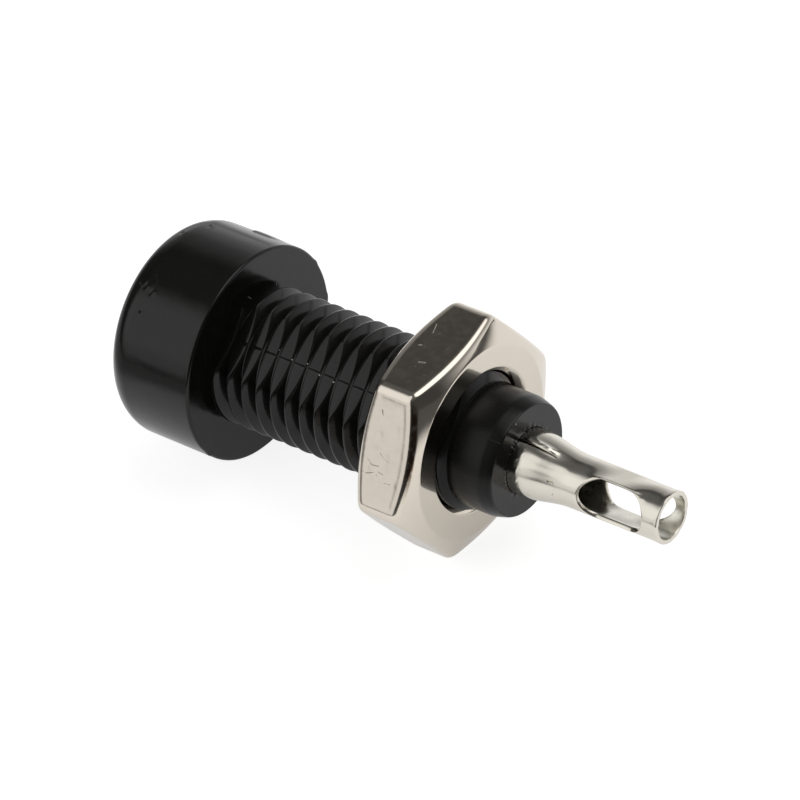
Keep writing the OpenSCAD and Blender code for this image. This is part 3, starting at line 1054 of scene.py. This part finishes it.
def contact_material():
    """Bright tin plate with faint drawing lines, dull specks and a duller inside, whose paler colour is
    painted light.
    """
    material, tree, shader, coords = new_material("tin_plate")
    film = noise_value(tree, coords, 1.1, 4)
    drawn = noise_value(tree, coords, 1, 3, (0.35, 6, 6))
    specks = map_range(tree, noise_value(tree, coords, 6, 3), 0.7, 0.76, 0, 1)
    outward = vector_node(tree, "MULTIPLY", coords, (0, 1, 1))
    outward = vector_node(tree, "DOT_PRODUCT", outward, surface_normal(tree), "Value")
    hidden = map_range(tree, outward, -0.3, -0.6, 0, 1)
    marks = strokes(tree, coords, TUBE_MARKS, TUBE_MARK_HALF)
    plate = mix_colour(tree, film, *TIN)
    # Painted light: the inside of the sheet gets a paler colour than the tin outside
    plate = mix_colour(tree, hidden, plate, TIN_INSIDE_PAINTED_LIGHT)
    colour = mix_colour(tree, math_node(tree, "MAXIMUM", specks, marks), plate, TIN_MARK)
    tree.links.new(colour, shader.inputs["Base Color"])
    shader.inputs["Metallic"].default_value = 1.0
    rough = map_range(tree, film, 0.3, 0.7, 0.14, 0.22)
    rough = plus(tree, rough, times(tree, hidden, DULLER))
    tree.links.new(rough, shader.inputs["Roughness"])
    flaws = math_node(tree, "MAXIMUM", specks, times(tree, marks, 4))
    height = math_node(tree, "SUBTRACT", times(tree, drawn, 0.6), flaws)
    set_bump(tree, shader, height, 0.005)
    return material


# Studio: paper sweep behind the object, soft boxes to its left and behind it, dark room in front and overhead
SWEEP_AZIMUTH = 178
SWEEP_FULL = 42
SWEEP_GONE = 72
# Each soft box: azimuth, elevation, level, and the angles from its middle where it starts to fade and is gone
SOFTBOXES = (
    (-42, 31, 1.15, 14, 36), (-26, 16, 0.92, 14, 22), (-24, 40, 1.1, 11, 18), (-35, 60, 1.0, 10, 16),
    (140, 62, 1.7, 18, 32))
ROOM_LEVEL = 0.065
CEILING_LEVEL = 0.07
# Brightness of the sweep by elevation in degrees
SWEEP_LEVELS = ((0, 0.95), (10, 0.68), (23, 0.38), (34, 0.28), (38, 0.1), (41, 0.01), (46, 0))


def direction(azimuth, elevation):
    """Unit vector for an azimuth and elevation as the views count them."""
    a, e = math.radians(azimuth), math.radians(elevation)
    return (math.sin(a) * math.cos(e), -math.cos(a) * math.cos(e), math.sin(e))


def sweep_side(tree, ray):
    """1 towards the paper sweep behind the object, and 0 towards the rest of the room."""
    level = vector_node(tree, "MULTIPLY", ray, (1, 1, 0))
    level = add_node(tree, "ShaderNodeVectorMath", {0: level}, operation="NORMALIZE").outputs[0]
    towards = vector_node(tree, "DOT_PRODUCT", level, direction(SWEEP_AZIMUTH, 0), "Value")
    gone = math.cos(math.radians(SWEEP_GONE))
    return map_range(tree, towards, gone, math.cos(math.radians(SWEEP_FULL)), 0, 1)


def sweep_level(tree, height):
    """Brightness of the paper sweep, which fades upwards."""
    ramp = add_node(tree, "ShaderNodeValToRGB", {"Fac": height})
    stops = ramp.color_ramp.elements
    while len(stops) < len(SWEEP_LEVELS):
        stops.new(1.0)
    for stop, (elevation, brightness) in zip(stops, SWEEP_LEVELS):
        stop.position = math.sin(math.radians(elevation))
        stop.color = (brightness, brightness, brightness, 1)
    return ramp.outputs["Color"]


def softbox_level(tree, ray, azimuth, elevation, level, full, gone):
    """Light of one soft box in the direction of a ray."""
    towards = vector_node(tree, "DOT_PRODUCT", ray, direction(azimuth, elevation), "Value")
    return map_range(tree, towards, math.cos(math.radians(gone)), math.cos(math.radians(full)), 0, level)


def make_world():
    """White to the eye and, in reflections, below the horizon; the studio's lights to everything else."""
    world = bpy.data.worlds.new("studio")
    bpy.context.scene.world = world
    world.use_nodes = True
    tree = world.node_tree
    tree.nodes.clear()
    ray = add_node(tree, "ShaderNodeTexCoord").outputs["Generated"]
    height = add_node(tree, "ShaderNodeSeparateXYZ", {0: ray}).outputs["Z"]
    behind = sweep_side(tree, ray)
    studio = times(tree, behind, sweep_level(tree, height))
    for softbox in SOFTBOXES:
        studio = math_node(tree, "MAXIMUM", studio, softbox_level(tree, ray, *softbox))
    room = map_range(tree, height, 0.68, 0.85, ROOM_LEVEL, ROOM_LEVEL + CEILING_LEVEL)
    studio = plus(tree, studio, room)
    path = add_node(tree, "ShaderNodeLightPath").outputs
    mirrored = math_node(tree, "MAXIMUM", path["Is Glossy Ray"], path["Is Transmission Ray"])
    backdrop = times(tree, behind, map_range(tree, height, 0.02, -0.03, 0, 1))
    backdrop = times(tree, backdrop, mirrored)
    seen = math_node(tree, "MAXIMUM", path["Is Camera Ray"], backdrop)
    level = math_node(tree, "MAXIMUM", studio, seen)
    background = add_node(tree, "ShaderNodeBackground", {"Color": (1, 1, 1, 1), "Strength": level})
    add_node(tree, "ShaderNodeOutputWorld", {"Surface": background.outputs[0]})


# Floor: it touches the head's rim and the nut, so it leans with the part's own rest
FLOOR_R = 0.1
FLOOR_GLOW = 0.86
FLOOR_PAPER = 0.42
# Reach in metres of the soft shade that the object throws on the paper in reflections, and its least level
SHADE_REACH = 0.02
SHADE_LEAST = 0.65
# In reflections the paper darkens towards both ends of the part, a painted shade for uneven light on it: lean
# of the lines of even level, and where along them in millimetres it is dark, bright, bright and dark again
PAPER_LEAN = 0.2
PAPER_ENDS = (-24, -14, 34, 58)
PAPER_LEAST = (0.4, 0.1)


def floor_material():
    """White paper: bright to the eye and in reflections, with room left for the object's shadow."""
    material = bpy.data.materials.new("paper")
    material.use_nodes = True
    tree = material.node_tree
    tree.nodes.clear()
    coords = add_node(tree, "ShaderNodeTexCoord").outputs["Object"]
    grain = noise_value(tree, coords, 900)
    colour = mix_colour(tree, grain, (FLOOR_PAPER,) * 3, (FLOOR_PAPER * 0.98,) * 3)
    paper = add_node(tree, "ShaderNodeBsdfDiffuse", {"Color": colour})
    path = add_node(tree, "ShaderNodeLightPath").outputs
    open_sky = add_node(tree, "ShaderNodeAmbientOcclusion", {"Distance": SHADE_REACH}, samples=8)
    level = map_range(tree, open_sky.outputs["AO"], 0.3, 1, SHADE_LEAST, 1, "LINEAR")
    along = vector_node(tree, "DOT_PRODUCT", coords, (1 / MM, PAPER_LEAN / MM, 0), "Value")
    # Painted shade: the paper's glow in reflections is dimmed towards both ends of the part
    level = times(tree, level, map_range(tree, along, *PAPER_ENDS[:2], PAPER_LEAST[0], 1))
    level = times(tree, level, map_range(tree, along, *PAPER_ENDS[2:], 1, PAPER_LEAST[1]))
    mirrored = math_node(tree, "MAXIMUM", path["Is Glossy Ray"], path["Is Transmission Ray"])
    seen = math_node(tree, "MAXIMUM", path["Is Camera Ray"], mirrored)
    glow = add_node(tree, "ShaderNodeEmission", {"Strength": times(tree, seen, FLOOR_GLOW)})
    lit = add_node(tree, "ShaderNodeAddShader", {0: paper.outputs[0], 1: glow.outputs[0]})
    dark = add_node(tree, "ShaderNodeBsdfDiffuse", {"Color": (0, 0, 0, 1)})
    dimmed = times(tree, mirrored, math_node(tree, "SUBTRACT", 1.0, level))
    surface = add_node(tree, "ShaderNodeMixShader", {0: dimmed, 1: lit.outputs[0], 2: dark.outputs[0]})
    add_node(tree, "ShaderNodeOutputMaterial", {"Surface": surface.outputs[0]})
    return material


def make_floor():
    """Large round floor under the object."""
    rise = (HEAD_R - NUT_FLAT_R) / (NUT_X + NUT_LEN + SEAT_EDGE_R)
    bm = bmesh.new()
    bmesh.ops.create_circle(bm, cap_ends=True, segments=96, radius=FLOOR_R)
    mesh = bpy.data.meshes.new("floor")
    bm.to_mesh(mesh)
    bm.free()
    mesh.materials.append(floor_material())
    floor = bpy.data.objects.new("floor", mesh)
    floor.location = (0, 0, (rise * SEAT_EDGE_R - HEAD_R) * MM)
    floor.rotation_euler = (0, -math.atan(rise), 0)
    bpy.context.scene.collection.objects.link(floor)


make_body(plastic_material())
make_nut(nut_material())
make_contact(contact_material())
make_floor()
make_world()
bpy.context.scene.view_settings.view_transform = "Standard"

bpy.context.view_layer.update()
